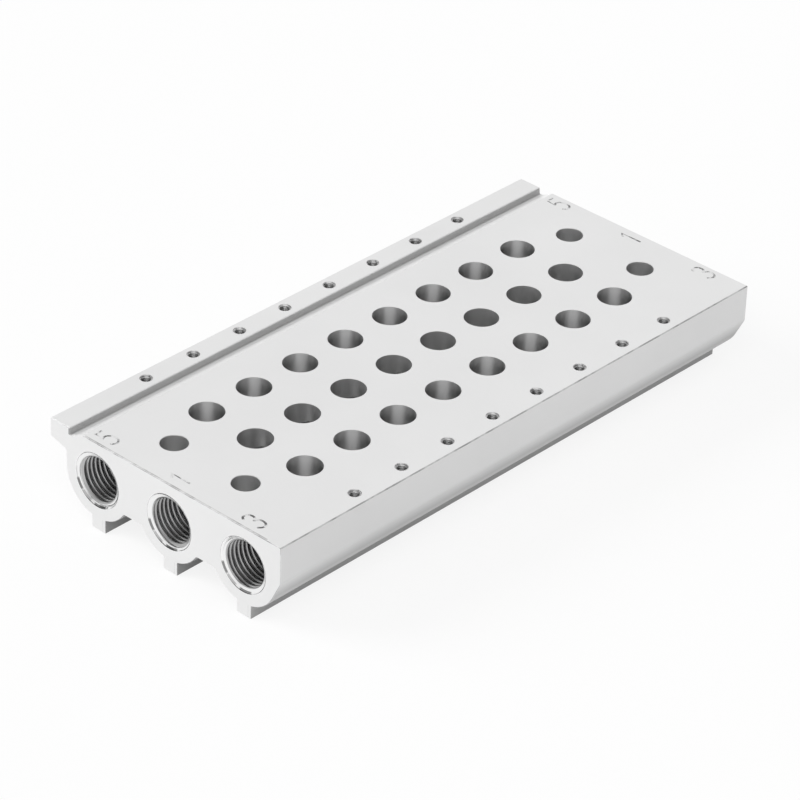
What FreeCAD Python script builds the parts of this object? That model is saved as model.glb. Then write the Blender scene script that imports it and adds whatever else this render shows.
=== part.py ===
import FreeCAD, Part
import math
import os

# A valve manifold base: one extruded aluminium rail that carries a row of valves side by side.
# Three round channels run through it from end to end. Their six ends are tapped as pipe ports.
# Each valve station has three ports in the top face and a tapped screw hole at either side.
# Frame: X along the rail, Y across it towards the screw strip, Z up, in millimetres.
# Origin: the middle of the length, on the plane of the feet, straight under the middle channel.

# Row of valve stations
station_count = 8
station_pitch = 16.0
end_margin = 28.6  # from the last station to the end face

# Heights above the feet
rail_height = 24.6
channel_height = 14.0
web_height = 8.6  # underside of the webs between the channels
web_corner_round = 0.8
foot_width = 3.9
foot_edge_round = 0.5

# Channels, and the tubes of the section that enclose them
channel_spacing = 24.65
channel_diameter = 11.8
tube_radius = 10.7

# Pipe ports tapped in both ends of each channel, drawn at the thread's major diameter
thread_diameter = 13.157
thread_depth = 12.0
countersink_diameter = 15.0

# Front wall
front_wall_out = 12.15  # outside the front channel's axis
front_wall_end_rise = 0.4  # its lower edge, above the channels' axes

# Screw strip along the back, and the groove that parts it from the valve face
strip_out = 16.15  # outer side, from the back channel's axis
strip_thickness = 5.2
strip_slope = 1.4  # how far the underside drops on its way to the tube
strip_corner_round = 1.0
groove_wall_out = 9.45
groove_depth = 1.75
groove_wall_lean = 0.2
groove_floor = 1.0
groove_slope_run = 3.45

# Valve ports in the top face
port_diameter = 9.0
port_row_in = 8.15  # the outer rows, inboard of the outer channels' axes
port_depth = 11.6  # of the outer rows

# Tapped holes for the valves' screws, drawn at the thread's major diameter
screw_diameter = 3.0
front_screw_inset = 4.1  # from the front wall
strip_screw_inset = 3.2  # from the strip's outer side
front_screw_depth = 8.0

# Through holes that fasten the rail down
mount_hole_diameter = 7.0
mount_hole_inset = 13.35  # from the end face
mount_hole_shift = 0.325  # from the middle of the web towards the middle channel

# Edges rounded by the die or broken by the machining
die_round = 0.3
screw_edge = 0.2
mount_edge = 0.1
end_edge = 0.15
overcut = 1.0  # how far a cutter stands out of the face it opens

# Places worked out from the values above
row_length = (station_count - 1) * station_pitch
rail_length = row_length + 2 * end_margin
front_y = -channel_spacing - front_wall_out
strip_y = channel_spacing + strip_out
strip_underside_z = rail_height - strip_thickness
outer_row_y = channel_spacing - port_row_in
mount_hole_x = rail_length / 2 - mount_hole_inset
mount_hole_y = channel_spacing / 2 - mount_hole_shift

station_places = [i * station_pitch - row_length / 2 for i in range(station_count)]
channel_places = [-channel_spacing, 0.0, channel_spacing]
row_places = [-outer_row_y, 0.0, outer_row_y]

X_AXIS = FreeCAD.Vector(1, 0, 0)
Z_AXIS = FreeCAD.Vector(0, 0, 1)


def section_point(y, z):
    """A point of the rail's section, on its left end plane."""
    return FreeCAD.Vector(-rail_length / 2, y, z)


def tube_point(channel_y, angle):
    """A point on the outside of a tube, at an angle in degrees from +Y towards +Z."""
    turn = math.radians(angle)
    return section_point(
        channel_y + tube_radius * math.cos(turn),
        channel_height + tube_radius * math.sin(turn),
    )


def tube_arc(channel_y, start_angle, end_angle):
    """An arc along the outside of a tube, from one angle to the other."""
    middle_angle = (start_angle + end_angle) / 2
    return Part.Arc(
        tube_point(channel_y, start_angle),
        tube_point(channel_y, middle_angle),
        tube_point(channel_y, end_angle),
    ).toShape()


def straight(first, last):
    """A straight edge between two points of the section."""
    return Part.LineSegment(first, last).toShape()


def foot_edges(channel_y):
    """The outline of one foot, from its -Y side down, along the floor and up its +Y side."""
    half = foot_width / 2
    root_z = channel_height - math.sqrt(tube_radius**2 - half**2)
    low = channel_y - half
    high = channel_y + half
    corner = foot_edge_round
    inner = corner * (1 - math.sqrt(0.5))
    return [
        straight(section_point(low, root_z), section_point(low, corner)),
        Part.Arc(
            section_point(low, corner),
            section_point(low + inner, inner),
            section_point(low + corner, 0),
        ).toShape(),
        straight(section_point(low + corner, 0), section_point(high - corner, 0)),
        Part.Arc(
            section_point(high - corner, 0),
            section_point(high - inner, inner),
            section_point(high, corner),
        ).toShape(),
        straight(section_point(high, corner), section_point(high, root_z)),
    ]


def front_wall_edges():
    """The front wall, and the slope that runs from its lower edge onto the front tube."""
    touch_angle, wall_end = front_tangent()
    return [
        straight(section_point(front_y, rail_height), wall_end),
        straight(wall_end, tube_point(-channel_spacing, touch_angle)),
    ]


def front_tangent():
    """The angle at which the front slope touches its tube, and the point where it leaves the wall."""
    wall_end = section_point(front_y, channel_height + front_wall_end_rise)
    reach = math.hypot(front_wall_out, front_wall_end_rise)
    away = 180 - math.degrees(math.atan2(front_wall_end_rise, front_wall_out))
    touch_angle = away + math.degrees(math.acos(tube_radius / reach))
    return touch_angle, wall_end


def underside_edges():
    """The tubes, feet and webs, from the front slope to the back tube's outer side."""
    foot_turn = math.degrees(math.asin(foot_width / 2 / tube_radius))
    web_turn = math.degrees(math.asin((channel_height - web_height) / tube_radius))
    edges = []
    for channel_y in channel_places:
        first = front_tangent()[0] if channel_y == channel_places[0] else 180 + web_turn
        last = 360 if channel_y == channel_places[-1] else 360 - web_turn
        edges.append(tube_arc(channel_y, first, 270 - foot_turn))
        edges += foot_edges(channel_y)
        edges.append(tube_arc(channel_y, 270 + foot_turn, last))
        if channel_y != channel_places[-1]:
            next_y = channel_y + channel_spacing
            edges.append(
                straight(
                    tube_point(channel_y, 360 - web_turn),
                    tube_point(next_y, 180 + web_turn),
                )
            )
    return edges


def strip_edges():
    """The back wall above its tube, and the screw strip that overhangs it."""
    wall_y = channel_spacing + tube_radius
    wall_top_z = strip_underside_z - strip_slope
    slope_angle = math.atan2(strip_slope, strip_y - wall_y)
    setback = strip_corner_round * math.tan((math.pi / 2 - slope_angle) / 2)
    wall_end = section_point(wall_y, wall_top_z - setback)
    slope_start = section_point(
        wall_y + setback * math.cos(slope_angle),
        wall_top_z + setback * math.sin(slope_angle),
    )
    centre = section_point(wall_y + strip_corner_round, wall_top_z - setback)
    middle_turn = math.pi - (math.pi / 2 - slope_angle) / 2
    middle = centre + section_offset(strip_corner_round, middle_turn)
    slope_end = section_point(strip_y, strip_underside_z)
    return [
        straight(section_point(wall_y, channel_height), wall_end),
        Part.Arc(wall_end, middle, slope_start).toShape(),
        straight(slope_start, slope_end),
        straight(slope_end, section_point(strip_y, rail_height)),
    ]


def section_offset(distance, turn):
    """A step across the section, at an angle in radians from +Y towards +Z."""
    return FreeCAD.Vector(0, distance * math.cos(turn), distance * math.sin(turn))


def top_edges():
    """The top of the strip, the groove beside it and the valve face."""
    wall_y = channel_spacing + groove_wall_out
    floor_y = wall_y - groove_wall_lean
    floor_z = rail_height - groove_depth
    slope_y = floor_y - groove_floor
    corners = [
        section_point(strip_y, rail_height),
        section_point(wall_y, rail_height),
        section_point(floor_y, floor_z),
        section_point(slope_y, floor_z),
        section_point(slope_y - groove_slope_run, rail_height),
        section_point(front_y, rail_height),
    ]
    return [straight(first, last) for first, last in zip(corners, corners[1:])]


def long_edges(rail, corners):
    """The edges that run the rail's length through some corners of its section."""
    found = []
    for edge in rail.Edges:
        start = section_point(edge.firstVertex().Y, edge.firstVertex().Z)
        runs_along = edge.BoundBox.XLength > rail_length / 2
        if runs_along and any(start.isEqual(corner, 1e-4) for corner in corners):
            found.append(edge)
    return found


def web_corners():
    """The corners of the section where a web's underside meets the tubes."""
    web_turn = math.degrees(math.asin((channel_height - web_height) / tube_radius))
    left = [tube_point(y, 360 - web_turn) for y in channel_places[:-1]]
    right = [tube_point(y, 180 + web_turn) for y in channel_places[1:]]
    return left + right


def extruded_rail():
    """The bare extrusion, cut to length, with the corners of its section rounded as by the die."""
    edges = front_wall_edges() + underside_edges() + strip_edges() + top_edges()
    outline = Part.Wire(Part.__sortEdges__(edges))
    rail = Part.Face(outline).extrude(X_AXIS * rail_length)
    rail = rail.makeFillet(web_corner_round, long_edges(rail, web_corners()))
    outer_corners = [
        section_point(front_y, rail_height),
        section_point(strip_y, rail_height),
        section_point(strip_y, strip_underside_z),
        section_point(channel_spacing + groove_wall_out, rail_height),
    ]
    return rail.makeFillet(die_round, long_edges(rail, outer_corners))


def round_hole(mouth, inward, diameter, depth):
    """A cutter for a round hole of a depth, which stands a little out of the face at its mouth."""
    start = mouth - inward * overcut
    return Part.makeCylinder(diameter / 2, depth + overcut, start, inward)


def flared_hole(mouth, inward, diameter, depth, rim):
    """A cutter for a round hole whose edge is broken at 45 degrees out to a rim."""
    radius = diameter / 2
    start = mouth - inward * overcut
    cone = Part.makeCone(rim + overcut, radius, rim - radius + overcut, start, inward)
    return round_hole(mouth, inward, diameter, depth).fuse(cone)


def channel_cutters():
    """The channels, each with a tapped and countersunk port at both ends."""
    cutters = []
    for channel_y in channel_places:
        end = FreeCAD.Vector(-rail_length / 2, channel_y, channel_height)
        cutters.append(round_hole(end, X_AXIS, channel_diameter, rail_length + overcut))
        for side in (-1, 1):
            mouth = FreeCAD.Vector(side * rail_length / 2, channel_y, channel_height)
            rim = countersink_diameter / 2
            cutters.append(
                flared_hole(mouth, X_AXIS * -side, thread_diameter, thread_depth, rim)
            )
    return cutters


def port_cutters():
    """The three valve ports of every station: the middle one opens into the middle channel from above,
    and the outer ones are sunk past the inner sides of the outer channels."""
    cutters = []
    down = Z_AXIS * -1
    for x in station_places:
        for y in row_places:
            mouth = FreeCAD.Vector(x, y, rail_height)
            over_channel = y in channel_places
            depth = rail_height - channel_height if over_channel else port_depth
            cutters.append(round_hole(mouth, down, port_diameter, depth))
    return cutters


def screw_cutters():
    """The tapped screw holes: blind at the front, through the strip at the back."""
    cutters = []
    down = Z_AXIS * -1
    rim = screw_diameter / 2 + screw_edge
    strip_depth = strip_thickness + strip_slope + overcut
    for x in station_places:
        front = FreeCAD.Vector(x, front_y + front_screw_inset, rail_height)
        back = FreeCAD.Vector(x, strip_y - strip_screw_inset, rail_height)
        cutters.append(flared_hole(front, down, screw_diameter, front_screw_depth, rim))
        cutters.append(flared_hole(back, down, screw_diameter, strip_depth, rim))
    return cutters


def mount_cutters():
    """The four through holes that fasten the rail down, one in each end of each web."""
    cutters = []
    down = Z_AXIS * -1
    rim = mount_hole_diameter / 2 + mount_edge
    depth = rail_height + overcut
    for x in (-mount_hole_x, mount_hole_x):
        for y in (-mount_hole_y, mount_hole_y):
            mouth = FreeCAD.Vector(x, y, rail_height)
            cutters.append(flared_hole(mouth, down, mount_hole_diameter, depth, rim))
    return cutters


def break_end_edges(rail):
    """Break the outer edges of both sawn end faces."""
    end_faces = [face for face in rail.Faces if face.normalAt(0, 0).isParallel(X_AXIS, 1e-6)]
    edges = [edge for face in end_faces for edge in face.OuterWire.Edges]
    return rail.makeChamfer(end_edge, edges)


def manifold_rail():
    """The whole part: the extrusion with its ends broken, its channels bored and its holes drilled."""
    rail = break_end_edges(extruded_rail())
    cutters = channel_cutters() + port_cutters() + screw_cutters() + mount_cutters()
    return rail.cut(cutters).removeSplitter()


def save(shape, node):
    """Write one sub-part as a STEP file named after its node."""
    solid = shape.Solids[0] if len(shape.Solids) == 1 else shape
    solid.exportStep(os.path.join("parts", node + ".step"))
    box = solid.BoundBox
    print(
        node,
        "solids",
        len(shape.Solids),
        "valid",
        solid.isValid(),
        "volume cm3",
        round(solid.Volume / 1000, 2),
        "box",
        [round(v, 2) for v in (box.XMin, box.YMin, box.ZMin, box.XMax, box.YMax, box.ZMax)],
    )


os.makedirs("parts", exist_ok=True)
save(manifold_rail(), "manifold_rail")
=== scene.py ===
import math

import bmesh
import bpy
from mathutils import Matrix, Vector


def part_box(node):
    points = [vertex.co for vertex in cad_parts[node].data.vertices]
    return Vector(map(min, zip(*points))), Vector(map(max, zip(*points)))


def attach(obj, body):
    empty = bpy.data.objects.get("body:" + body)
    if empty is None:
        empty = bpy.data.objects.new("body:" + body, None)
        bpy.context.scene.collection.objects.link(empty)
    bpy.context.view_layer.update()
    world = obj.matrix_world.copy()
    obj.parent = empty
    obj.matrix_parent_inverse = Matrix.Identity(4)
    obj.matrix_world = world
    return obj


bl_info = {
    "name": "Valve Manifold Rail",
    "version": (1, 0, 0),
    "blender": (4, 5, 0),
    "location": "3D View > Sidebar > Manifold",
    "description": "Finishes an aluminium valve manifold rail: threads, channel numbers, metal, studio",
    "category": "Add Mesh",
}

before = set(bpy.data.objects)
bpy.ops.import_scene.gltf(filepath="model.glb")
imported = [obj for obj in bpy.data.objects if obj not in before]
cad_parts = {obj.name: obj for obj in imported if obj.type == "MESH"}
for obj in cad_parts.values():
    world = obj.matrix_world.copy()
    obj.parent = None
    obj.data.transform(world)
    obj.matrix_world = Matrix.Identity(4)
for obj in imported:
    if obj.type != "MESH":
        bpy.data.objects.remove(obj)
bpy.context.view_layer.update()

MM = 0.001
rail_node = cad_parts["manifold_rail"]
rail_low, rail_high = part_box("manifold_rail")
half_length = rail_high[0]
face_height = rail_high[2]

# Layout of the rail, in millimetres, as the CAD solid has it
station_pitch = 16.0
station_places = [station_pitch * (i - 3.5) for i in range(8)]
channel_places = {"front": -24.65, "middle": 0.0, "back": 24.65}
channel_spacing = 24.65
channel_height = 14.0
web_height = 8.6
foot_front = 2.75
channel_radius = 5.9
flare_slope = 2.0
groove_start = 29.9
groove_floor_start = 33.1
groove_wall = 34.3
groove_low = 22.7
port_rows = 16.5
port_radius = 4.5
port_end_height = 13.0
front_screw_y = -32.7
strip_screw_y = 37.6
screw_rim_radius = 1.7
mount_x = 71.25
mount_y = 12.0
mount_rim_radius = 3.6
pipe_bore_radius = 6.5785
pipe_bore_depth = 12.0
countersink_radius = 7.5

# Paths of the tools, in millimetres: the face cutter's radius, and the saw's axis as its Y and Z
cutter_radius = 60.0
blade_axis = (-30.0, 140.0)

# Greys of worn and marked metal, and of painted shade and painted reflections, from 0 for black to 1 for
# white
# Painted shade on hole walls seen edge-on
ring_shadow_grey = 0.25
# Painted reflection: dark patches in the countersinks
painted_reflection_grey = 0.16
rubbed_grey = 0.885
# Painted shade: a dark line along the broken edges
edge_shade_grey = 0.12
# Painted shade: the groove's floor darkening towards its wall
groove_shade_grey = 0.24
crest_grey = 0.9
mouth_grey = 0.93
bare_grey = 0.825

# Numbers stamped at both ends of each channel
channel_numbers = {"front": "3", "middle": "1", "back": "5"}

# Centre lines of the digits, as shares of their width and height about their middle
digit_lines = {
    "1": [(-0.30, 0.27), (0.10, 0.50), (0.10, -0.50)],
    "3": [
        (-0.46, 0.36), (-0.20, 0.49), (0.16, 0.48), (0.40, 0.33), (0.36, 0.15), (0.02, 0.04),
        (0.38, -0.06), (0.50, -0.24), (0.30, -0.45), (-0.08, -0.50), (-0.50, -0.36),
    ],
    "5": [
        (0.42, 0.50), (-0.32, 0.50), (-0.42, 0.06), (-0.06, 0.13), (0.34, 0.03), (0.50, -0.18),
        (0.36, -0.42), (-0.02, -0.50), (-0.50, -0.38),
    ],
}
# Which points of a digit's line are sharp corners or straight ends
digit_corners = {"1": (0, 1, 2), "3": (5,), "5": (0, 1, 2)}

# What settings of one kind have in common
color_kind = {"subtype": "COLOR", "size": 3, "min": 0.0, "max": 1.0}
share_kind = {"subtype": "FACTOR", "min": 0.0, "max": 1.0}
length_kind = {"subtype": "DISTANCE", "unit": "LENGTH", "precision": 5}


class RailFinishSettings(bpy.types.PropertyGroup):
    """The metal of the rail, how its tools have marked it, and the painted shade and painted light in its
    colour.
    """

    metal_color: bpy.props.FloatVectorProperty(
        name="Metal", description="Colour of the aluminium", default=(0.795,) * 3, **color_kind,
    )
    milled_color: bpy.props.FloatVectorProperty(
        name="Milled face", description="Colour of the freshly milled valve face",
        default=(0.805,) * 3, **color_kind,
    )
    sawn_color: bpy.props.FloatVectorProperty(
        name="Sawn end", description="Colour of the two end faces", default=(0.85,) * 3, **color_kind,
    )
    # Painted shade: low on the skin the colour darkens to this
    low_shade_color: bpy.props.FloatVectorProperty(
        name="Painted low shade", description="Colour of the skin painted darker under the front wall and on the feet",
        default=(0.5,) * 3, **color_kind,
    )
    # Painted shade between the feet and low on the outer feet's sides
    shaded_color: bpy.props.FloatVectorProperty(
        name="Painted shade between the feet", description="Colour of the skin painted in shade between the feet",
        default=(0.28,) * 3, **color_kind,
    )
    # Painted light: the groove's slope and floor are lighter than the milled face, to make up for the
    # groove's own shade
    groove_lightened_color: bpy.props.FloatVectorProperty(
        name="Groove", description="Colour of the groove's slope and floor",
        default=(0.905,) * 3, **color_kind,
    )
    bored_color: bpy.props.FloatVectorProperty(
        name="Bored holes", description="Colour of the walls that a drill or boring bar has cut",
        default=(0.855,) * 3, **color_kind,
    )
    skin_metallic: bpy.props.FloatProperty(
        name="Skin metallic", description="How far the thin oxide of the skin still shines as metal",
        default=0.2, **share_kind,
    )
    cut_metallic: bpy.props.FloatProperty(
        name="Cut metallic", description="How far a cut surface shines as metal",
        default=0.85, **share_kind,
    )
    skin_roughness: bpy.props.FloatProperty(
        name="Skin roughness", description="Roughness of the skin that the die has left",
        default=0.44, **share_kind,
    )
    milled_roughness: bpy.props.FloatProperty(
        name="Milled roughness", description="Roughness of the milled valve face",
        default=0.36, **share_kind,
    )
    bored_roughness: bpy.props.FloatProperty(
        name="Bored roughness", description="Roughness of the walls of the holes",
        default=0.26, **share_kind,
    )
    countersink_color: bpy.props.FloatVectorProperty(
        name="Countersink", description="Colour of the flared mouths of the end ports",
        default=(0.955,) * 3, **color_kind,
    )
    drilled_color: bpy.props.FloatVectorProperty(
        name="Drilled holes", description="Colour of the plain drilled walls",
        default=(0.725,) * 3, **color_kind,
    )
    drilled_roughness: bpy.props.FloatProperty(
        name="Drilled roughness", description="Roughness of the plain drilled walls",
        default=0.42, **share_kind,
    )
    ringed_color: bpy.props.FloatVectorProperty(
        name="Ringed holes", description="Colour of the walls with fine feed rings",
        default=(0.925,) * 3, **color_kind,
    )
    ringed_roughness: bpy.props.FloatProperty(
        name="Ringed roughness", description="Roughness of the walls with fine feed rings",
        default=0.52, **share_kind,
    )
    edge_width: bpy.props.FloatProperty(
        name="Edge width", description="How far a rubbed edge reaches onto its faces",
        min=0.0, default=0.22 * MM, **length_kind,
    )


class ThreadSettings(bpy.types.PropertyGroup):
    """The threads cut in the end ports and in the screw holes."""

    pipe_pitch: bpy.props.FloatProperty(
        name="Pipe thread pitch", description="Distance between two turns of the pipe thread",
        min=0.1 * MM, default=1.337 * MM, **length_kind,
    )
    pipe_crest_radius: bpy.props.FloatProperty(
        name="Pipe crest radius", description="Radius at the crests of the pipe thread",
        min=1 * MM, default=5.93 * MM, **length_kind,
    )
    screw_pitch: bpy.props.FloatProperty(
        name="Screw thread pitch", description="Distance between two turns in the screw holes",
        min=0.1 * MM, default=0.5 * MM, **length_kind,
    )
    screw_crest_radius: bpy.props.FloatProperty(
        name="Screw crest radius", description="Radius at the crests in the screw holes",
        min=0.5 * MM, default=1.25 * MM, **length_kind,
    )
    thread_color: bpy.props.FloatVectorProperty(
        name="Cut thread", description="Colour of the bright metal of the threads",
        default=(0.525,) * 3, **color_kind,
    )


class MarkSettings(bpy.types.PropertyGroup):
    """The numbers at both ends of each channel."""

    digit_height: bpy.props.FloatProperty(
        name="Height", description="Height of a digit", min=1 * MM, default=6.4 * MM, **length_kind,
    )
    digit_width: bpy.props.FloatProperty(
        name="Width", description="Width of a digit", min=0.5 * MM, default=2.9 * MM, **length_kind,
    )
    stroke: bpy.props.FloatProperty(
        name="Stroke", description="Width of a digit's line",
        min=0.05 * MM, default=0.6 * MM, **length_kind,
    )
    left_inset: bpy.props.FloatProperty(
        name="Left inset", description="From the left end face to the middle of its digits",
        min=1 * MM, default=3.6 * MM, **length_kind,
    )
    right_inset: bpy.props.FloatProperty(
        name="Right inset", description="From the right end face to the middle of its digits",
        min=1 * MM, default=3.1 * MM, **length_kind,
    )
    mark_color: bpy.props.FloatVectorProperty(
        name="Mark", description="Colour of the marked metal", default=(0.12,) * 3, **color_kind,
    )


class StudioSettings(bpy.types.PropertyGroup):
    """Floor, lamps and camera."""

    floor_size: bpy.props.FloatProperty(
        name="Floor", description="Side of the floor",
        subtype="DISTANCE", unit="LENGTH", min=1.0, default=8.0,
    )
    world_level: bpy.props.FloatProperty(
        name="Room light", description="Light that comes evenly from all round", min=0.0, default=0.4,
    )
    key_power: bpy.props.FloatProperty(
        name="Key lamp", description="Strength of the soft lamp behind the left end", min=0.0, default=2.0,
    )
    front_power: bpy.props.FloatProperty(
        name="Front lamp", description="Strength of the soft lamp above the front", min=0.0, default=1.1,
    )
    lens: bpy.props.FloatProperty(
        name="Lens", description="Focal length of the camera in millimetres", min=10.0, default=178.74,
    )


def deselect_all():
    """Leave edit mode and select nothing."""
    if bpy.context.object and bpy.context.object.mode != "OBJECT":
        bpy.ops.object.mode_set(mode="OBJECT")
    bpy.ops.object.select_all(action="DESELECT")


def select_only(piece):
    """Make one object the selected and active one."""
    deselect_all()
    piece.select_set(True)
    bpy.context.view_layer.objects.active = piece


def select_vertices(piece, wanted):
    """In edit mode, select just the vertices whose place passes a test."""
    bpy.ops.mesh.select_mode(type="VERT")
    bpy.ops.mesh.select_all(action="DESELECT")
    mesh = bmesh.from_edit_mesh(piece.data)
    for vertex in mesh.verts:
        vertex.select_set(wanted(vertex.co))
    mesh.select_flush_mode()
    bmesh.update_edit_mesh(piece.data)


def settle(piece, name, material):
    """Name a finished piece, put its place into its mesh and tie it to the rail's body."""
    select_only(piece)
    bpy.ops.object.transform_apply(location=True, rotation=True, scale=True)
    piece.name = name
    piece.data.name = name
    piece.data.materials.clear()
    piece.data.materials.append(material)
    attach(piece, "root")


def feed(tree, node, inputs):
    """Link the inputs of a node to other nodes, or set them to plain values."""
    for key, value in inputs.items():
        if isinstance(value, bpy.types.NodeSocket):
            tree.links.new(value, node.inputs[key])
        else:
            node.inputs[key].default_value = value


def add_node(tree, kind, name, inputs=None, **settings):
    """Add a shader node, with its settings made and its inputs fed."""
    made = tree.nodes.new(kind)
    made.name = name
    made.label = name
    for key, value in settings.items():
        setattr(made, key, value)
    feed(tree, made, inputs or {})
    return made


def maths(tree, name, operation, *values):
    """Add one Math node and return its output."""
    return add_node(tree, "ShaderNodeMath", name, dict(enumerate(values)), operation=operation).outputs[0]


def both(tree, name, first, second):
    """One number times another: where both are masks, the places that lie in both."""
    return maths(tree, name, "MULTIPLY", first, second)


def above(tree, name, value, limit):
    """A mask of the places where a number is above a limit."""
    return maths(tree, name, "GREATER_THAN", value, limit)


def below(tree, name, value, limit):
    """A mask of the places where a number is below a limit."""
    return maths(tree, name, "LESS_THAN", value, limit)


def vector_maths(tree, name, operation, *values):
    """Add one Vector Math node and return the output that its operation fills."""
    made = add_node(tree, "ShaderNodeVectorMath", name, dict(enumerate(values)), operation=operation)
    return made.outputs["Value" if operation in ("DOT_PRODUCT", "LENGTH") else "Vector"]


def plan_distance(tree, name, first, second):
    """The length of a step that has two parts at right angles."""
    joined = add_node(tree, "ShaderNodeCombineXYZ", name + " step", {0: first, 1: second})
    return vector_maths(tree, name, "LENGTH", joined.outputs[0])


def blend_values(tree, name, share, first, second):
    """Mix two numbers and return the output."""
    return add_node(tree, "ShaderNodeMix", name, {0: share, 2: first, 3: second}).outputs[0]


def blend_colors(tree, name, share, first, second):
    """Mix two colours and return the output."""
    return add_node(
        tree, "ShaderNodeMix", name, {0: share, 6: first, 7: second}, data_type="RGBA"
    ).outputs[2]


def remap(tree, name, value, start, end, low=0.0, high=1.0, smooth=False):
    """Stretch the numbers from start to end over those from low to high, held at both ends."""
    return add_node(
        tree, "ShaderNodeMapRange", name,
        {"Value": value, "From Min": start, "From Max": end, "To Min": low, "To Max": high},
        interpolation_type="SMOOTHSTEP" if smooth else "LINEAR",
    ).outputs["Result"]


def noise(tree, name, place, scale, detail, roughness):
    """Add a noise texture and return its level."""
    return add_node(
        tree, "ShaderNodeTexNoise", name,
        {"Vector": place, "Scale": scale, "Detail": detail, "Roughness": roughness},
    ).outputs["Fac"]


def bump(tree, name, height, strength, distance):
    """The way that the surface faces once a height has roughened it."""
    return add_node(
        tree, "ShaderNodeBump", name, {"Strength": strength, "Distance": distance, "Height": height}
    ).outputs[0]


def object_place(tree):
    """Where a spot lies on the object."""
    return add_node(tree, "ShaderNodeTexCoord", "Place").outputs["Object"]


def surface_normal(tree):
    """The way that a spot of the surface faces."""
    return add_node(tree, "ShaderNodeNewGeometry", "Surface").outputs["Normal"]


def split(tree, name, vector):
    """The three parts of a vector."""
    return add_node(tree, "ShaderNodeSeparateXYZ", name, {0: vector}).outputs


def seen_directly(tree, path):
    """1 where the camera sees a spot itself, in a mirror or through glass."""
    seen = maths(
        tree, "Seen or mirrored", "MAXIMUM", path.outputs["Is Camera Ray"], path.outputs["Is Glossy Ray"]
    )
    return maths(tree, "Or through", "MAXIMUM", seen, path.outputs["Is Transmission Ray"])


def grey(level):
    """A grey as the four numbers that a socket takes."""
    return (level, level, level, 1.0)


def opaque(color):
    """A colour setting as the four numbers that a socket takes."""
    return (*color, 1.0)


def lay_out(tree):
    """Put the nodes of a tree in columns, by how many others their inputs have come through."""
    sources = {}
    for link in tree.links:
        sources.setdefault(link.to_node.name, []).append(link.from_node.name)
    columns = {}

    def column(name):
        if name not in columns:
            columns[name] = max((column(source) + 1 for source in sources.get(name, [])), default=0)
        return columns[name]

    column_width, row_height = 190, 170
    filled = {}
    for node in tree.nodes:
        across = column(node.name)
        down = filled.get(across, 0)
        node.location = (across * column_width, -down * row_height)
        filled[across] = down + 1


def new_group(name, inputs):
    """Start a shader node group, with numbers as its inputs."""
    tree = bpy.data.node_groups.new(name, "ShaderNodeTree")
    for socket_name, default in inputs.items():
        socket = tree.interface.new_socket(socket_name, in_out="INPUT", socket_type="NodeSocketFloat")
        socket.default_value = default
    return tree, tree.nodes.new("NodeGroupInput").outputs


def end_group(tree, results):
    """Give a group an output for each number that it has worked out."""
    for name in results:
        tree.interface.new_socket(name, in_out="OUTPUT", socket_type="NodeSocketFloat")
    feed(tree, tree.nodes.new("NodeGroupOutput"), results)
    lay_out(tree)


def worn_edge_group(name):
    """A mask that is 1 on sharp edges, broken up by small knocks, and 0 on open faces."""
    tree, given = new_group(name, {"Width": 0.0002, "Strength": 1.0})
    rounded = add_node(tree, "ShaderNodeBevel", "Rounded normal", {"Radius": given["Width"]}, samples=6)
    turn = vector_maths(
        tree, "Turn of the normal", "DOT_PRODUCT", rounded.outputs[0], surface_normal(tree)
    )
    raised = both(tree, "Raised", maths(tree, "Bend", "SUBTRACT", 1.0, turn), 9.0)
    knocks = noise(tree, "Knocks", object_place(tree), 420.0, 3.0, 0.6)
    broken = remap(tree, "Broken up", knocks, 0.3, 0.7, 0.45, 1.0)
    level = both(tree, "Strength", both(tree, "Knocked", raised, broken), given["Strength"])
    held = add_node(tree, "ShaderNodeClamp", "Held", {"Value": level})
    end_group(tree, {"Mask": held.outputs[0]})


def tool_lines_group(name):
    """Fine parallel lines across one coordinate, as a cutting tool's feed leaves them."""
    tree, given = new_group(name, {"Distance": 0.0, "Spacing": 0.0003})
    count = maths(tree, "Line count", "DIVIDE", given["Distance"], given["Spacing"])
    lines = add_node(
        tree, "ShaderNodeTexNoise", "Lines",
        {"W": count, "Scale": 1.0, "Detail": 3.0, "Roughness": 0.55}, noise_dimensions="1D",
    )
    end_group(tree, {"Height": lines.outputs["Fac"]})


def cloudy_group(name):
    """Slow uneven tone, as handling and washing leave on bare metal."""
    tree, given = new_group(name, {"Size": 0.03, "Low": 0.97, "High": 1.02})
    scale = maths(tree, "Scale", "DIVIDE", 1.0, given["Size"])
    cloud = noise(tree, "Cloud", object_place(tree), scale, 4.0, 0.5)
    end_group(tree, {"Level": remap(tree, "Level", cloud, 0.3, 0.7, given["Low"], given["High"])})


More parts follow.
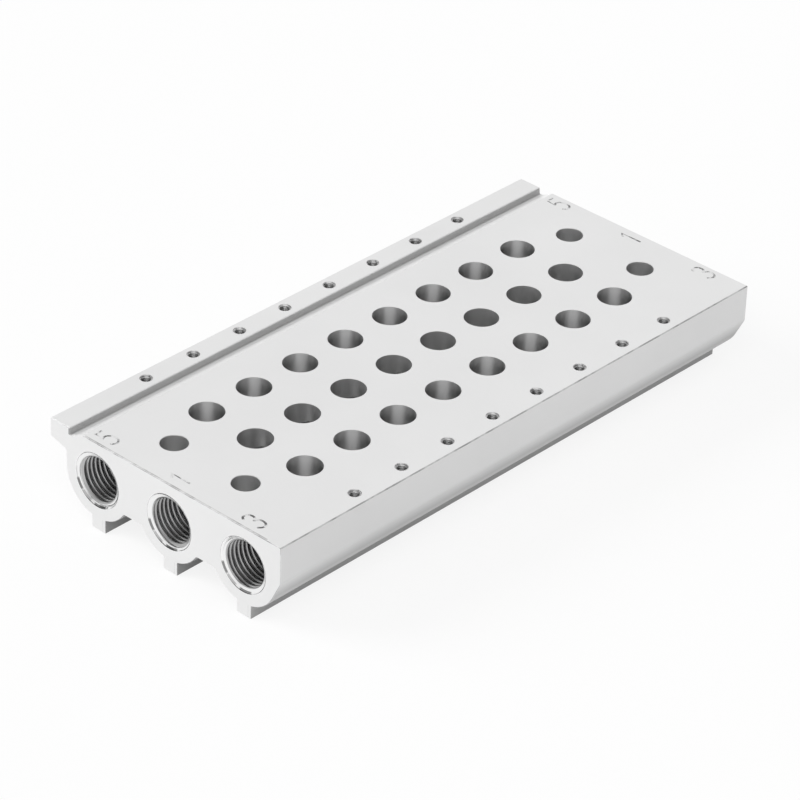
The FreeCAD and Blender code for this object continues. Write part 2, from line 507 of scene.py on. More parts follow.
def drilled_walls(tree, spot, facing):
    """Masks of all walls of the holes from above, and of those with fine feed rings."""
    x, y, z = spot
    across_x = maths(tree, "Side of X", "ABSOLUTE", x)
    across_y = maths(tree, "Side of Y", "ABSOLUTE", y)
    upright = maths(tree, "Upright", "ABSOLUTE", facing[2])
    steep = below(tree, "Steep", upright, 0.95)

    from_first = maths(tree, "From first station", "SUBTRACT", x, station_places[0] * MM)
    from_station = maths(tree, "From station", "PINGPONG", from_first, station_pitch / 2 * MM)
    from_row = maths(tree, "From port row", "PINGPONG", y, port_rows / 2 * MM)
    to_port = plan_distance(tree, "To port", from_station, from_row)
    in_port = below(tree, "In a port", to_port, (port_radius + 0.1) * MM)
    in_rows = below(tree, "In the rows", across_y, (port_rows + port_radius + 0.1) * MM)
    port_wall = both(tree, "Port wall", in_port, in_rows)
    by_stations = below(
        tree, "Along the stations", across_x, (station_places[-1] + port_radius + 1) * MM
    )

    from_middle = maths(
        tree, "From between the screws", "SUBTRACT", y, (front_screw_y + strip_screw_y) / 2 * MM
    )
    from_screw_row = maths(
        tree, "From screw row", "SUBTRACT", maths(tree, "Out from between", "ABSOLUTE", from_middle),
        (strip_screw_y - front_screw_y) / 2 * MM,
    )
    to_screw = plan_distance(tree, "To screw", from_station, from_screw_row)
    screw_wall = below(tree, "Screw wall", to_screw, (screw_rim_radius + 0.05) * MM)

    to_mount = plan_distance(
        tree, "To mount", maths(tree, "From mount X", "SUBTRACT", across_x, mount_x * MM),
        maths(tree, "From mount Y", "SUBTRACT", across_y, mount_y * MM),
    )
    mount_wall = below(tree, "Mount wall", to_mount, (mount_rim_radius + 0.05) * MM)
    above_skin = above(tree, "Above the web's skin", z, (web_height - 0.1) * MM)
    mount_wall = both(tree, "Mount wall in the web", mount_wall, above_skin)

    above_end = above(tree, "Above the port's end", z, (port_end_height - 0.1) * MM)
    either = maths(tree, "Either hole", "MAXIMUM", port_wall, screw_wall)
    any_port = both(tree, "Port or screw", by_stations, either)
    any_port = both(tree, "Port or screw in its depth", any_port, above_end)
    any_hole = maths(tree, "Any hole", "MAXIMUM", any_port, mount_wall)

    outer_row = above(tree, "Outer row", across_y, port_rows / 2 * MM)
    ringed = both(
        tree, "Outer port", outer_row, both(tree, "Port by the stations", port_wall, by_stations)
    )
    ringed = maths(
        tree, "Or screw wall", "MAXIMUM", ringed,
        both(tree, "Screw by the stations", screw_wall, by_stations),
    )
    ringed = both(tree, "Ringed hole in its depth", ringed, above_end)
    return both(tree, "Drilled wall", any_hole, steep), both(tree, "Ringed wall", ringed, steep)


def painted_reflection_marks(tree, y, from_axis_z, to_axis):
    """Painted reflections: three dark patches on the outer half of each countersink."""
    half = channel_spacing / 2 * MM
    from_axis_y = maths(tree, "From its own axis", "WRAP", y, half, -half)
    outward = add_node(
        tree, "ShaderNodeCombineXYZ", "Out of the axis", {1: from_axis_y, 2: from_axis_z}
    ).outputs[0]
    outward = vector_maths(tree, "Way out of the axis", "NORMALIZE", outward)
    painted_reflection = 0.0
    for name, way_out, begins, ends, darkest in (
        ("low", (0.0, -0.11, -0.994), 0.955, 0.975, 0.85),
        ("side", (0.0, 0.864, -0.504), 0.97, 0.985, 0.85),
        ("lower side", (0.0, 0.54, -0.84), 0.965, 0.98, 0.5),
    ):
        near = vector_maths(tree, f"Near the {name} mark", "DOT_PRODUCT", outward, way_out)
        patch = remap(tree, f"The {name} mark", near, begins, ends, high=darkest)
        painted_reflection = maths(tree, f"With the {name} mark", "MAXIMUM", painted_reflection, patch)
    outer_half = above(
        tree, "Outer half of the countersink", to_axis, (countersink_radius - 0.62) * MM
    )
    return both(tree, "Chatter on the countersink", painted_reflection, outer_half)


def machined_and_painted_places_group(name):
    """Masks for the places of the rail that a tool has cut, and for the painted shade and painted
    reflections on it, found from where the surface lies.
    """
    tree = new_group(name, {})[0]
    x, y, z = split(tree, "Spot", object_place(tree))
    facing = split(tree, "Facing", surface_normal(tree))
    across_x = maths(tree, "Side of X", "ABSOLUTE", x)
    across_y = maths(tree, "Side of Y", "ABSOLUTE", y)
    endwise = maths(tree, "Endwise", "ABSOLUTE", facing[0])
    straight, nearly = 0.9, 0.95

    high = above(tree, "High", z, face_height - 0.3 * MM)
    milled = both(tree, "Milled face", high, above(tree, "Level", facing[2], straight))
    at_end = above(tree, "At an end", across_x, half_length - 0.1 * MM)
    sawn = both(tree, "Sawn end", at_end, above(tree, "Faces out", endwise, straight))

    to_corner = remap(
        tree, "To the groove's corner", y, groove_floor_start * MM, (groove_wall - 0.3) * MM, smooth=True
    )
    below_edge = remap(
        tree, "Below the groove's edge", z, face_height - 0.05 * MM, face_height - 0.3 * MM
    )
    before_wall = below(tree, "Before the wall", y, (groove_wall + 0.15) * MM)
    past_slope = above(tree, "Past the slope's top", y, (groove_start - 0.1) * MM)
    groove = both(tree, "Between the two", before_wall, past_slope)
    groove = both(tree, "Below the edge too", groove, below_edge)
    groove = both(tree, "Groove", groove, above(tree, "Above its floor", z, groove_low * MM))
    # Painted shade: the groove's floor darkens towards its wall, and the wall with it
    corner = both(tree, "Painted groove shade", groove, to_corner)

    # Painted shade: the skin darkens from 1.2 mm above the channels' axis to 4.2 mm below it
    shade_start, shade_full = channel_height + 1.2, channel_height - 4.2
    lower = remap(tree, "Painted low shade", z, shade_start * MM, shade_full * MM)
    # Painted shade between the feet under the web, and growing down the outer feet's sides
    inside = below(
        tree, "Inside the outer feet's sides", across_y, (channel_spacing + foot_front + 0.1) * MM
    )
    between = both(
        tree, "Painted shade between the feet", inside, below(tree, "Under the web", z, (web_height + 0.2) * MM)
    )
    foot_top, foot_middle = 4.2, 1.8
    foot_side = remap(tree, "Down the outer foot's side", z, foot_top * MM, foot_middle * MM, high=0.6)
    outer_side = above(tree, "Outer foot's side", across_y, (channel_spacing + 2.0) * MM)
    share = blend_values(tree, "Less on the outer side", outer_side, 1.0, foot_side)
    between = both(tree, "Shaded skin", between, share)

    # Painted shade: a dark line along the end edges, the round top front edge, and faintly on the face by
    # the left end
    end_edge = both(tree, "End edge", at_end, below(tree, "Not flat", endwise, nearly))
    off_mouth = above(tree, "Off the mouths", z, groove_low * MM)
    rim_share = blend_values(tree, "Less round a mouth", off_mouth, 0.4, 1.0)
    end_edge = both(tree, "Dull end edge", end_edge, rim_share)
    at_strip = above(tree, "At groove and strip", y, (groove_start - 0.5) * MM)
    strip_share = blend_values(tree, "Less at the strip", at_strip, 1.0, 0.3)
    end_edge = both(tree, "Dull end edge of the face", end_edge, strip_share)
    at_front = below(tree, "At the front", y, rail_low[1] + 0.28 * MM)
    round_top = both(tree, "Round top edge", at_front, above(tree, "Looks up", facing[2], 0.2))
    round_top = both(tree, "Less on the round", round_top, 0.65)
    edge_shade_middle, edge_shade_reach = -1.5, 30.5
    shade_line = both(
        tree, "Shade line by the edge", below(tree, "By the left end", x, 0.6 * MM - half_length),
        maths(tree, "Within the burr's run", "COMPARE", y, edge_shade_middle * MM, edge_shade_reach * MM),
    )
    shade_line = both(tree, "Shade line by the edge on the face", shade_line, milled)
    shade_line = both(tree, "Faint rolled edge", shade_line, 0.6)
    broken_edge = maths(tree, "Any broken edge", "MAXIMUM", end_edge, round_top)
    broken_edge = maths(tree, "Broken edge", "MAXIMUM", broken_edge, shade_line)

    from_channel = maths(tree, "From channel", "PINGPONG", y, channel_spacing / 2 * MM)
    above_channel = maths(tree, "Above channel", "SUBTRACT", z, channel_height * MM)
    to_channel = plan_distance(tree, "To channel", from_channel, above_channel)
    tapped = above(tree, "Tapped length", across_x, half_length - (pipe_bore_depth + 0.1) * MM)
    widening = both(tree, "Widening", tapped, (countersink_radius - channel_radius) * MM)
    reach = maths(tree, "Channel reach", "ADD", widening, (channel_radius + 0.08) * MM)
    channel = below(tree, "Channel", to_channel, reach)
    near_mouth = above(tree, "Near the mouth", across_x, half_length - 0.95 * MM)
    mouth = both(tree, "Countersink", channel, near_mouth)
    # Painted reflection: dark patches on the countersinks' outer halves
    painted_reflection = painted_reflection_marks(tree, y, above_channel, to_channel)
    painted_reflection = both(tree, "Chatter at the mouth", painted_reflection, mouth)
    painted_reflection = both(tree, "Painted reflection", painted_reflection, below(tree, "Off the sawn end", endwise, nearly))

    y_squared = both(tree, "Y squared", y, y)
    rise = maths(tree, "Arc rise", "SUBTRACT", (cutter_radius * MM) ** 2, y_squared)
    feed = maths(tree, "Milling feed", "SUBTRACT", x, maths(tree, "Cutter's arc", "SQRT", rise))
    blade = plan_distance(
        tree, "Saw blade", maths(tree, "Blade Y", "ADD", y, -blade_axis[0] * MM),
        maths(tree, "Blade Z", "SUBTRACT", z, blade_axis[1] * MM),
    )
    end_group(
        tree,
        {
            "Milled face": milled, "Sawn end": sawn, "Channel": channel, "Countersink": mouth,
            "Broken edge": broken_edge, "Groove": groove, "Painted groove shade": corner,
            "Painted low shade": lower, "Painted shade between the feet": between, "Painted reflection": painted_reflection,
            "Along tool": blend_values(tree, "Feed or blade", sawn, feed, blade),
        },
    )


group_makers = {
    "Worn Edge": worn_edge_group,
    "Tool Lines": tool_lines_group,
    "Cloudy Tone": cloudy_group,
    "Machined and Painted Places": machined_and_painted_places_group,
}


def use_group(tree, name, inputs=None):
    """Place a shared node group in a material, made the first time that it is asked for."""
    if name not in bpy.data.node_groups:
        group_makers[name](name)
    group = bpy.data.node_groups[name]
    return add_node(tree, "ShaderNodeGroup", name, inputs, node_tree=group).outputs


def new_material(name):
    """A material that holds only a Principled BSDF and its output."""
    material = bpy.data.materials.new(name)
    material.use_nodes = True
    return material, material.node_tree, material.node_tree.nodes["Principled BSDF"]


def rail_material(finish):
    """Bare aluminium: extruded skin, milled valve face, sawn ends and bored walls, with painted shade,
    painted light and painted reflections in its colour.
    """
    name = "Bare aluminium rail"
    if name in bpy.data.materials:
        return bpy.data.materials[name]
    material, tree, shader = new_material(name)
    places = use_group(tree, "Machined and Painted Places")
    worn = use_group(tree, "Worn Edge", {"Width": finish.edge_width, "Strength": 1.0})["Mask"]
    clouds = use_group(tree, "Cloudy Tone", {"Size": 0.03, "Low": 0.975, "High": 1.01})["Level"]
    place = object_place(tree)
    spot = split(tree, "Spot", place)
    normal = surface_normal(tree)
    drilled, ringed = drilled_walls(tree, spot, split(tree, "Facing", normal))
    bored = maths(tree, "Bored", "MAXIMUM", drilled, places["Channel"])
    flat_cut = maths(tree, "Flat cut", "MAXIMUM", places["Milled face"], places["Sawn end"])
    cut = maths(tree, "Cut", "MAXIMUM", bored, flat_cut)

    color = opaque(finish.metal_color)
    # The low skin and between-feet colours are painted shade; the groove colour is painted light
    for name, share, setting in (
        ("Skin or painted low shade", places["Painted low shade"], finish.low_shade_color),
        ("Or painted shade between the feet", places["Painted shade between the feet"], finish.shaded_color),
        ("Or groove", places["Groove"], finish.groove_lightened_color),
        ("Or milled face", places["Milled face"], finish.milled_color),
        ("Or sawn end", places["Sawn end"], finish.sawn_color),
        ("Or bored wall", bored, finish.bored_color),
        ("Or drilled wall", drilled, finish.drilled_color),
        ("Or countersink", places["Countersink"], finish.countersink_color),
        ("Or ringed wall", ringed, finish.ringed_color),
    ):
        color = blend_colors(tree, name, share, color, opaque(setting))
    # Painted shade: hole walls darken where the camera sees them edge-on, half as much on plain drilled
    # walls
    edge_on = add_node(tree, "ShaderNodeLayerWeight", "Seen edge-on", {"Blend": 0.5})
    hidden = remap(
        tree, "Rings hide the light", edge_on.outputs["Facing"], 0.2, 0.55, high=0.6, smooth=True
    )
    half_drilled = both(tree, "Half as much when plain", drilled, 0.5)
    hiding = maths(tree, "Hiding walls", "MAXIMUM", half_drilled, ringed)
    hidden = both(tree, "Hidden share", hidden, hiding)
    color = blend_colors(tree, "Rings seen edge-on", hidden, color, grey(ring_shadow_grey))
    # Painted reflection: the dark patches on the countersinks
    color = blend_colors(tree, "Chatter marks", places["Painted reflection"], color, grey(painted_reflection_grey))
    color = vector_maths(tree, "Uneven tone", "MULTIPLY", color, clouds)
    color = blend_colors(tree, "Rubbed edges", worn, color, grey(rubbed_grey))
    # Painted shade along the broken edges, broken up by noise
    edge_shade = noise(tree, "Uneven burr", place, 160.0, 3.0, 0.6)
    edge_shade = remap(tree, "Edge shade share", edge_shade, 0.42, 0.58, 0.3, 0.9)
    edge_shade = both(tree, "Dull edge", edge_shade, places["Broken edge"])
    color = blend_colors(tree, "Dull burr", edge_shade, color, grey(edge_shade_grey))
    # Painted shade on the groove's floor by its wall
    corner = both(tree, "Groove shade share", places["Painted groove shade"], 0.75)
    color = blend_colors(tree, "Shade in the groove", corner, color, grey(groove_shade_grey))

    along = blend_values(tree, "Or down a hole", drilled, places["Along tool"], spot[2])
    along = blend_values(tree, "Or along a channel", places["Channel"], along, spot[0])
    lines = use_group(tree, "Tool Lines", {"Distance": along, "Spacing": 0.0003})["Height"]
    drawn = add_node(
        tree, "ShaderNodeMapping", "Drawn along the rail",
        {"Vector": place, "Scale": (6.0, 1500.0, 1500.0)},
    )
    die_lines = noise(tree, "Die lines", drawn.outputs[0], 1.0, 4.0, 0.6)
    grain = blend_values(tree, "Die or tool", cut, die_lines, lines)
    fine_share = both(tree, "Fine share", drilled, 0.75)
    grain = blend_values(tree, "Finer down a hole", fine_share, grain, 0.5)
    marks = bump(tree, "Tool marks", grain, 0.35, 0.012 * MM)

    rough = blend_values(
        tree, "Skin or cut", flat_cut, finish.skin_roughness, finish.milled_roughness
    )
    rough = blend_values(tree, "Or bored", bored, rough, finish.bored_roughness)
    rough = blend_values(tree, "Or drilled", drilled, rough, finish.drilled_roughness)
    rough = blend_values(tree, "Or ringed", ringed, rough, finish.ringed_roughness)
    spread = remap(tree, "Grain in the sheen", grain, 0.25, 0.75, -0.05, 0.05)
    rough = maths(tree, "With grain", "ADD", rough, spread)
    rough = blend_values(tree, "Smoother edges", worn, rough, 0.3)

    ring = vector_maths(tree, "Along the ring", "CROSS_PRODUCT", normal, (0.0, 0.0, 1.0))
    up_wall = vector_maths(tree, "Across the ring", "CROSS_PRODUCT", ring, normal)
    shine = blend_values(tree, "Skin or cut metal", cut, finish.skin_metallic, finish.cut_metallic)
    bare = maths(tree, "Bare walls", "MAXIMUM", ringed, places["Channel"])
    shine = maths(tree, "Or bare metal", "MAXIMUM", shine, bare)
    feed(
        tree, shader,
        {
            "Base Color": color, "Roughness": rough, "Metallic": shine, "Normal": marks,
            "Anisotropic": ringed, "Tangent": up_wall,
        },
    )
    lay_out(tree)
    return material


def thread_material(threads):
    """Bright freshly cut metal, with the fine tearing that a tap leaves."""
    material, tree, shader = new_material("Cut thread aluminium")
    worn = use_group(tree, "Worn Edge", {"Width": 0.00008, "Strength": 0.8})["Mask"]
    clouds = use_group(tree, "Cloudy Tone", {"Size": 0.004, "Low": 0.86, "High": 1.0})["Level"]
    color = vector_maths(tree, "Uneven tone", "MULTIPLY", tuple(threads.thread_color), clouds)
    color = blend_colors(tree, "Bright crests", worn, color, grey(crest_grey))
    place = object_place(tree)
    from_middle = maths(tree, "From the middle", "ABSOLUTE", split(tree, "Along the rail", place)[0])
    at_mouth = above(tree, "At the flared mouth", from_middle, half_length - 0.6 * MM)
    color = blend_colors(tree, "Bright mouth", at_mouth, color, grey(mouth_grey))
    # Painted reflection: the same dark patches on the threads at the mouths
    painted_reflection = use_group(tree, "Machined and Painted Places")["Painted reflection"]
    color = blend_colors(tree, "Chatter marks", painted_reflection, color, grey(painted_reflection_grey))
    tearing = noise(tree, "Tearing", place, 2600.0, 3.0, 0.6)
    rough = remap(tree, "Sheen", tearing, 0.3, 0.7, 0.3, 0.42)
    torn = bump(tree, "Torn metal", tearing, 0.12, 0.01 * MM)
    feed(tree, shader, {"Base Color": color, "Roughness": rough, "Metallic": 1.0, "Normal": torn})
    lay_out(tree)
    return material


def mark_material(marks):
    """Darkened metal in the strokes of the stamped numbers, bitten unevenly."""
    material, tree, shader = new_material("Stamped number")
    bitten = noise(tree, "Bite", object_place(tree), 560.0, 3.0, 0.65)
    share = remap(tree, "Bare share", bitten, 0.42, 0.56, 0.0, 0.95)
    color = blend_colors(tree, "Dark or bare", share, opaque(marks.mark_color), grey(bare_grey))
    pitted = bump(tree, "Bitten surface", bitten, 0.4, 0.01 * MM)
    feed(tree, shader, {"Base Color": color, "Roughness": 0.5, "Metallic": 0.6, "Normal": pitted})
    lay_out(tree)
    return material


def floor_material():
    """A white studio floor that stays white behind the rail and still takes its shadow."""
    material, tree, shader = new_material("Studio floor")
    tree.nodes.remove(shader)
    tooth = noise(tree, "Paper tooth", object_place(tree), 300.0, 2.0, 0.5)
    tone = remap(tree, "Tooth tone", tooth, 0.0, 1.0, 0.93, 0.95)
    paper = add_node(tree, "ShaderNodeBsdfDiffuse", "Paper", {"Color": tone}).outputs[0]
    glow = add_node(tree, "ShaderNodeEmission", "White paper", {"Strength": 1.0}).outputs[0]
    path = add_node(tree, "ShaderNodeLightPath", "Seen by")
    white_share = 0.85
    share = both(tree, "Share of white", seen_directly(tree, path), white_share)
    mixed = add_node(tree, "ShaderNodeMixShader", "Floor", {0: share, 1: paper, 2: glow}).outputs[0]
    side = add_node(tree, "ShaderNodeNewGeometry", "Side").outputs["Backfacing"]
    open_side = both(tree, "Open from below", side, path.outputs["Is Camera Ray"])
    clear = add_node(tree, "ShaderNodeBsdfTransparent", "Clear from below").outputs[0]
    floor = add_node(
        tree, "ShaderNodeMixShader", "Floor or clear", {0: open_side, 1: mixed, 2: clear}
    )
    feed(tree, tree.nodes["Material Output"], {"Surface": floor.outputs[0]})
    lay_out(tree)
    return material


def thread_ridge(bore_radius, crest_radius, base_width, crest_width, pitch, turns, steps, crest_round):
    """One right-handed thread ridge about +X, from a plane shaped to its section and screwed round."""
    deselect_all()
    depth = bore_radius - crest_radius
    bpy.ops.mesh.primitive_plane_add(
        size=1.0, location=(0, 0, (bore_radius + crest_radius) / 2), rotation=(math.pi / 2, 0, 0)
    )
    ridge = bpy.context.object
    ridge.scale = (base_width, depth, 1.0)
    bpy.ops.object.transform_apply(location=True, rotation=True, scale=True)
    bpy.ops.object.mode_set(mode="EDIT")
    select_vertices(ridge, lambda spot: spot.z < crest_radius + depth / 2)
    bpy.ops.transform.resize(value=(crest_width / base_width, 1.0, 1.0))
    if crest_round:
        bpy.ops.mesh.bevel(offset=crest_round, segments=2, affect="VERTICES")
    bpy.ops.mesh.select_all(action="SELECT")
    bpy.ops.mesh.delete(type="ONLY_FACE")
    bpy.ops.object.mode_set(mode="OBJECT")
    screw = ridge.modifiers.new("Turns", "SCREW")
    screw.axis = "X"
    screw.screw_offset = pitch
    screw.iterations = turns
    screw.steps = steps
    screw.render_steps = steps
    bpy.ops.object.modifier_apply(modifier=screw.name)
    bpy.ops.object.mode_set(mode="EDIT")
    bpy.ops.mesh.select_all(action="SELECT")
    bpy.ops.mesh.fill_holes(sides=0)
    bpy.ops.mesh.select_all(action="SELECT")
    bpy.ops.mesh.normals_make_consistent(inside=False)
    bpy.ops.object.mode_set(mode="OBJECT")
    bpy.ops.object.shade_smooth_by_angle(angle=math.radians(40))
    return ridge


def trim_to_flare(ridge, rim_radius, first, last):
    """Press a ridge back into the metal at the hole's flared mouth and between two depths."""
    for vertex in ridge.data.vertices:
        spot = vertex.co
        depth = min(max(spot.x, first), last)
        radius = math.hypot(spot.y, spot.z)
        hidden = 0.02 * MM
        wanted = max(radius, rim_radius - flare_slope * depth + hidden)
        vertex.co = (depth, spot.y * wanted / radius, spot.z * wanted / radius)


def slide(pattern, distance):
    """Move a modelled pattern along its axis, with its place put into its mesh."""
    select_only(pattern)
    pattern.location.x = distance
    bpy.ops.object.transform_apply(location=True, rotation=False, scale=False)


def place_copy(pattern, name, turn, place, material):
    """Copy a modelled piece with its own mesh, turn it and put it in its place."""
    piece = pattern.copy()
    piece.data = pattern.data.copy()
    bpy.context.collection.objects.link(piece)
    piece.matrix_world = Matrix.Translation(Vector(place)) @ turn
    settle(piece, name, material)


class MANIFOLD_OT_finish_rail(bpy.types.Operator):
    """Give the CAD rail its bare aluminium finish"""

    bl_idname = "manifold.finish_rail"
    bl_label = "Finish Rail"

    def execute(self, context):
        material = rail_material(context.scene.rail_finish)
        for slot in rail_node.material_slots:
            slot.material = material
        return {"FINISHED"}


class MANIFOLD_OT_widen_feet(bpy.types.Operator):
    """Bring the front side of each foot out to where the real one has it"""

    bl_idname = "manifold.widen_feet"
    bl_label = "Widen Feet"

    def execute(self, context):
        material = rail_material(context.scene.rail_finish)
        depth = 1.55 * MM
        height = 3.9 * MM
        inset = 0.02 * MM
        for row, y in channel_places.items():
            deselect_all()
            bpy.ops.mesh.primitive_cube_add(
                size=1.0, location=(0, (y - foot_front) * MM + depth / 2, inset + height / 2)
            )
            side = bpy.context.object
            side.scale = (2 * (half_length - inset), depth, height)
            bpy.ops.object.transform_apply(location=True, rotation=False, scale=True)
            bevel = side.modifiers.new("Die rounds", "BEVEL")
            bevel.width = 0.15 * MM
            bevel.segments = 3
            bpy.ops.object.modifier_apply(modifier=bevel.name)
            settle(side, f"foot_side_{row}", material)
        return {"FINISHED"}


class MANIFOLD_OT_cut_pipe_threads(bpy.types.Operator):
    """Cut the pipe threads in the six end ports"""

    bl_idname = "manifold.cut_pipe_threads"
    bl_label = "Cut Pipe Threads"

    def execute(self, context):
        threads = context.scene.rail_threads
        material = thread_material(threads)
        pattern = thread_ridge(
            bore_radius=(pipe_bore_radius + 0.05) * MM, crest_radius=threads.pipe_crest_radius,
            base_width=1.22 * MM, crest_width=0.46 * MM, pitch=threads.pipe_pitch, turns=10, steps=48,
            crest_round=0.1 * MM,
        )
        slide(pattern, -0.25 * MM)
        trim_to_flare(pattern, countersink_radius * MM, 0.1 * MM, (pipe_bore_depth + 0.4) * MM)
        for number, (row, y) in enumerate(channel_places.items()):
            for end, side in (("left", -1), ("right", 1)):
                about = Matrix.Rotation(math.radians(97 * number + 41 * side), 4, "X")
                turn = Matrix.Rotation(math.pi if side > 0 else 0.0, 4, "Z") @ about
                place = (side * half_length, y * MM, channel_height * MM)
                place_copy(pattern, f"pipe_thread_{end}_{row}", turn, place, material)
        bpy.data.objects.remove(pattern, do_unlink=True)
        return {"FINISHED"}


class MANIFOLD_OT_cut_screw_threads(bpy.types.Operator):
    """Cut the small threads in the screw holes beside every station"""

    bl_idname = "manifold.cut_screw_threads"
    bl_label = "Cut Screw Threads"

    def execute(self, context):
        threads = context.scene.rail_threads
        material = rail_material(context.scene.rail_finish)
        downward = Matrix.Rotation(math.pi / 2, 4, "Y")
        for row, y, turns in (("front", front_screw_y, 14), ("back", strip_screw_y, 9)):
            pattern = thread_ridge(
                bore_radius=1.52 * MM, crest_radius=threads.screw_crest_radius, base_width=0.44 * MM,
                crest_width=0.14 * MM, pitch=threads.screw_pitch, turns=turns, steps=16, crest_round=0.0,
            )
            slide(pattern, 0.25 * MM)
            end = turns * threads.screw_pitch + 0.2 * MM
            trim_to_flare(pattern, screw_rim_radius * MM, 0.05 * MM, end)
            for number, x in enumerate(station_places):
                turn = downward @ Matrix.Rotation(math.radians(71 * number), 4, "X")
                place = (x * MM, y * MM, face_height)
                place_copy(pattern, f"screw_thread_{row}_{number + 1}", turn, place, material)
            bpy.data.objects.remove(pattern, do_unlink=True)
        return {"FINISHED"}


class MANIFOLD_OT_stamp_numbers(bpy.types.Operator):
    """Mark each channel's number at both ends of the valve face"""

    bl_idname = "manifold.stamp_numbers"
    bl_label = "Stamp Numbers"

    def execute(self, context):
        marks = context.scene.rail_marks
        material = mark_material(marks)
        for row, digit in channel_numbers.items():
            pattern = self.digit(digit, marks)
            for end, side, inset in (("left", -1, marks.left_inset), ("right", 1, marks.right_inset)):
                x = side * (half_length - inset)
                y = channel_places[row] * MM
                place_copy(pattern, f"number_{end}_{row}", Matrix(), (x, y, face_height), material)
            bpy.data.objects.remove(pattern, do_unlink=True)
        return {"FINISHED"}

    def digit(self, digit, marks):
        """One digit about the origin: a curve along its centre line, pressed flat as a mesh."""
        deselect_all()
        bpy.ops.curve.primitive_bezier_curve_add(location=(0, 0, 0))
        curve = bpy.context.object.data
        spline = curve.splines[0]
        line = digit_lines[digit]
        spline.bezier_points.add(len(line) - len(spline.bezier_points))
        for index, (point, (across, up)) in enumerate(zip(spline.bezier_points, line)):
            handle = "VECTOR" if index in digit_corners[digit] else "AUTO"
            point.handle_left_type = handle
            point.handle_right_type = handle
            point.co = (across * marks.digit_width, up * marks.digit_height, 0)
        curve.dimensions = "3D"
        curve.resolution_u = 6
        curve.bevel_depth = marks.stroke / 2
        curve.bevel_resolution = 2
        curve.use_fill_caps = True
        bpy.ops.object.convert(target="MESH")
        piece = bpy.context.object
        piece.scale = (1.0, 1.0, 0.08)
        bpy.ops.object.transform_apply(location=False, rotation=False, scale=True)
        return piece


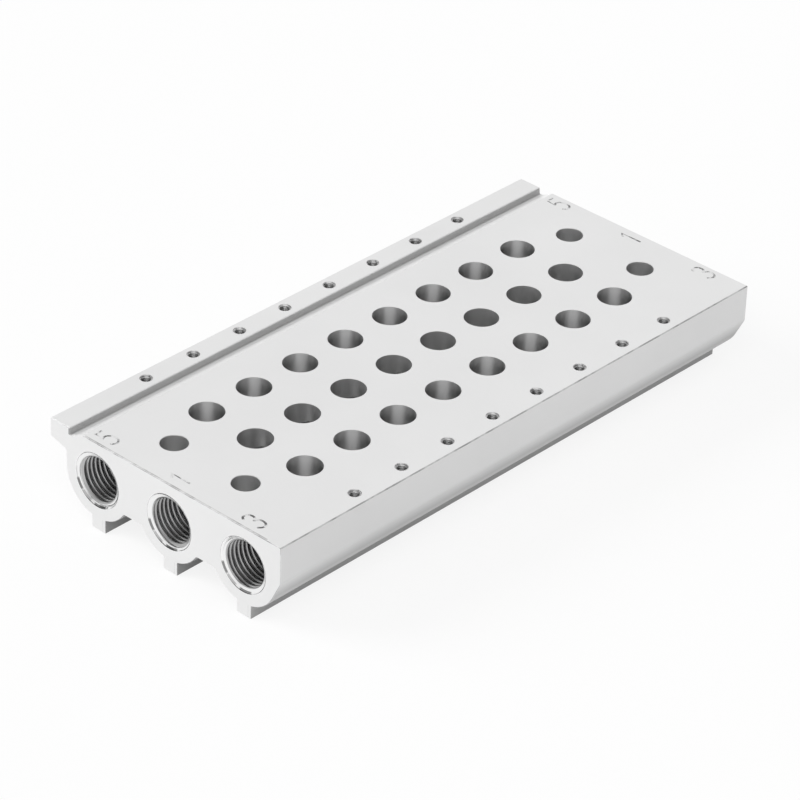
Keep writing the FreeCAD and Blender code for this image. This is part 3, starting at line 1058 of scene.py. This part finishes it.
class MANIFOLD_OT_set_studio(bpy.types.Operator):
    """Set up the pale floor, the soft lamps, the room light and the camera"""

    bl_idname = "manifold.set_studio"
    bl_label = "Set Studio"

    def execute(self, context):
        studio = context.scene.rail_studio
        self.floor(studio)
        self.lamp("Key lamp", (-0.55, 0.7, 0.5), 33, studio.key_power)
        self.lamp("Front lamp", (-0.5, -0.43, 0.8), 40, studio.front_power)
        self.room(context, studio)
        self.camera(context, studio)
        context.scene.view_settings.view_transform = "Standard"
        return {"FINISHED"}

    def floor(self, studio):
        """A wide flat floor, just under the feet so that it doesn't lie in their plane."""
        deselect_all()
        gap = 0.1 * MM
        bpy.ops.mesh.primitive_plane_add(size=studio.floor_size, location=(0, 0, -gap))
        floor = bpy.context.object
        floor.name = "studio_floor"
        floor.data.materials.append(floor_material())

    def lamp(self, name, place, spread, strength):
        """A soft lamp far away, spread over some degrees, that no surface mirrors."""
        bpy.ops.object.light_add(type="SUN", location=place)
        lamp = bpy.context.object
        lamp.name = name
        lamp.data.angle = math.radians(spread)
        lamp.data.energy = strength
        lamp.rotation_euler = (-Vector(place)).to_track_quat("-Z", "Y").to_euler()
        lamp.visible_glossy = False

    def room(self, context, studio):
        """White to the camera and in reflections, apart from two dark flags that only mirror, and an even
        gentler light elsewhere."""
        world = context.scene.world or bpy.data.worlds.new("Studio room")
        context.scene.world = world
        world.use_nodes = True
        tree = world.node_tree
        path = add_node(tree, "ShaderNodeLightPath", "Seen by")
        way = add_node(tree, "ShaderNodeTexCoord", "Way").outputs["Generated"]
        sideways = (0.671, -0.741, 0.0)
        flag_depth = 0.88
        beside = vector_maths(tree, "To the side", "DOT_PRODUCT", way, sideways)
        beside = maths(tree, "To either side", "ABSOLUTE", beside)
        flags = both(
            tree, "Flags", remap(tree, "Side flags", beside, 0.33, 0.58, smooth=True),
            remap(tree, "Above the horizon", split(tree, "Raised", way)[2], 0.28, 0.46, smooth=True),
        )
        mirrored = both(tree, "Mirrored flag", flags, path.outputs["Is Glossy Ray"])
        white = maths(tree, "White less flags", "MULTIPLY_ADD", mirrored, -flag_depth, 1.0)
        level = blend_values(tree, "Level", seen_directly(tree, path), studio.world_level, white)
        feed(tree, tree.nodes["Background"], {"Color": grey(1.0), "Strength": level})
        lay_out(tree)

    def camera(self, context, studio):
        """The photograph's point of view: its place, turn and lens."""
        bpy.ops.object.camera_add(location=(-0.62092, -0.55779, 0.53857))
        camera = bpy.context.object
        camera.name = "Camera"
        right = Vector((0.684834, -0.728104, 0.029449))
        up = Vector((0.372536, 0.384558, 0.84459))
        back = Vector((-0.626274, -0.567433, 0.534603))
        turn = Matrix((right, up, back)).transposed().to_4x4()
        camera.matrix_world = Matrix.Translation(camera.location) @ turn
        camera.data.lens = studio.lens
        camera.data.clip_start = 0.01
        camera.data.clip_end = 50.0
        context.scene.camera = camera


class MANIFOLD_PT_sidebar(bpy.types.Panel):
    """Lists the rail's steps and their sizes and colours"""

    bl_idname = "MANIFOLD_PT_sidebar"
    bl_label = "Valve Manifold Rail"
    bl_space_type = "VIEW_3D"
    bl_region_type = "UI"
    bl_category = "Manifold"

    def draw(self, context):
        for operator, setting in steps:
            box = self.layout.box()
            box.operator(operator)
            group = getattr(context.scene, setting)
            for key in type(group).__annotations__:
                box.prop(group, key)


steps = (
    ("manifold.finish_rail", "rail_finish"),
    ("manifold.widen_feet", "rail_finish"),
    ("manifold.cut_pipe_threads", "rail_threads"),
    ("manifold.cut_screw_threads", "rail_threads"),
    ("manifold.stamp_numbers", "rail_marks"),
    ("manifold.set_studio", "rail_studio"),
)

classes = (
    RailFinishSettings,
    ThreadSettings,
    MarkSettings,
    StudioSettings,
    MANIFOLD_OT_finish_rail,
    MANIFOLD_OT_widen_feet,
    MANIFOLD_OT_cut_pipe_threads,
    MANIFOLD_OT_cut_screw_threads,
    MANIFOLD_OT_stamp_numbers,
    MANIFOLD_OT_set_studio,
    MANIFOLD_PT_sidebar,
)

settings = {
    "rail_finish": RailFinishSettings,
    "rail_threads": ThreadSettings,
    "rail_marks": MarkSettings,
    "rail_studio": StudioSettings,
}


def register():
    for each in classes:
        bpy.utils.register_class(each)
    for name, group in settings.items():
        setattr(bpy.types.Scene, name, bpy.props.PointerProperty(type=group))


def unregister():
    for name in settings:
        delattr(bpy.types.Scene, name)
    for each in reversed(classes):
        bpy.utils.unregister_class(each)


def main():
    register()
    bpy.ops.manifold.finish_rail()
    bpy.ops.manifold.widen_feet()
    bpy.ops.manifold.cut_pipe_threads()
    bpy.ops.manifold.cut_screw_threads()
    bpy.ops.manifold.stamp_numbers()
    bpy.ops.manifold.set_studio()


if __name__ == "__main__":
    main()
